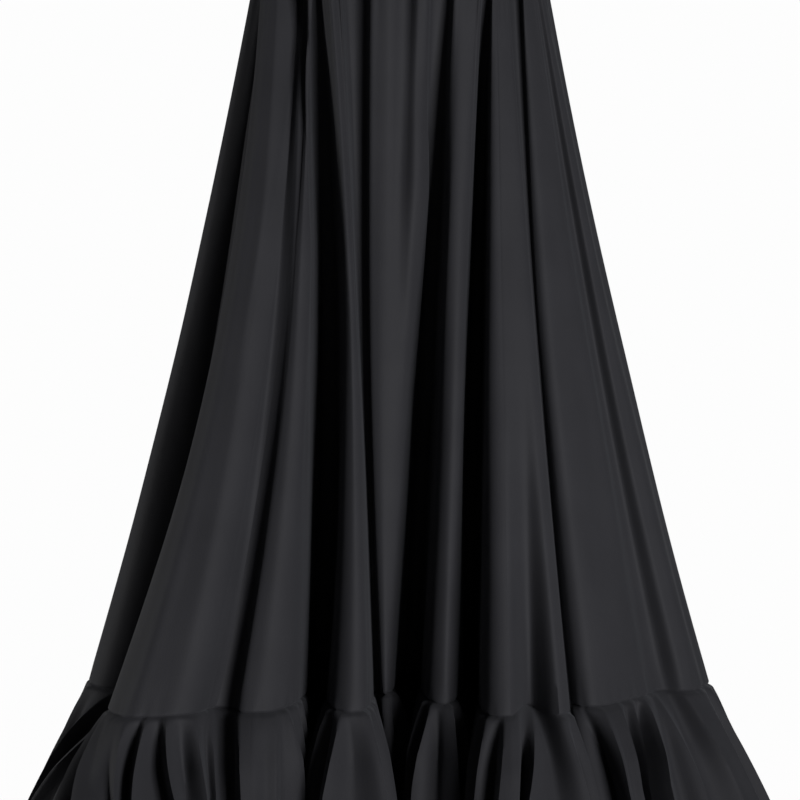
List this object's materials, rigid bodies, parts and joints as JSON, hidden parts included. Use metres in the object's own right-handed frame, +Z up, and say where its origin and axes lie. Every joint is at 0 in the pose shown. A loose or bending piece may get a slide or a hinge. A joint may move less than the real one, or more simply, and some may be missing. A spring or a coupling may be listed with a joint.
{
  "type": "flamenco skirt",
  "caption": "Long flared skirt in plain black crepe, gathered into an elastic waistband, with deep cone folds and a gathered flounce at the hem.",
  "frame": {"origin": "middle of the waist, level with the waistband's top edge", "axes": "+Z up, towards the wearer's head; the front faces -Y and the wearer's left is at +X"},
  "size_m": [0.7456, 0.653, 0.927],
  "materials": {
    "black_crepe": "plain black polyester stretch crepe, matt with a soft low sheen along the folds",
    "elastic_band": "the same crepe, gathered over woven elastic"
  },
  "bodies": {
    "root": {"waistband": "elastic_band", "skirt_front_gore": "black_crepe", "skirt_right_gore": "black_crepe", "skirt_back_gore": "black_crepe", "skirt_left_gore": "black_crepe", "flounce_front": "black_crepe", "flounce_right": "black_crepe", "flounce_back": "black_crepe", "flounce_left": "black_crepe"}
  },
  "joints": []
}
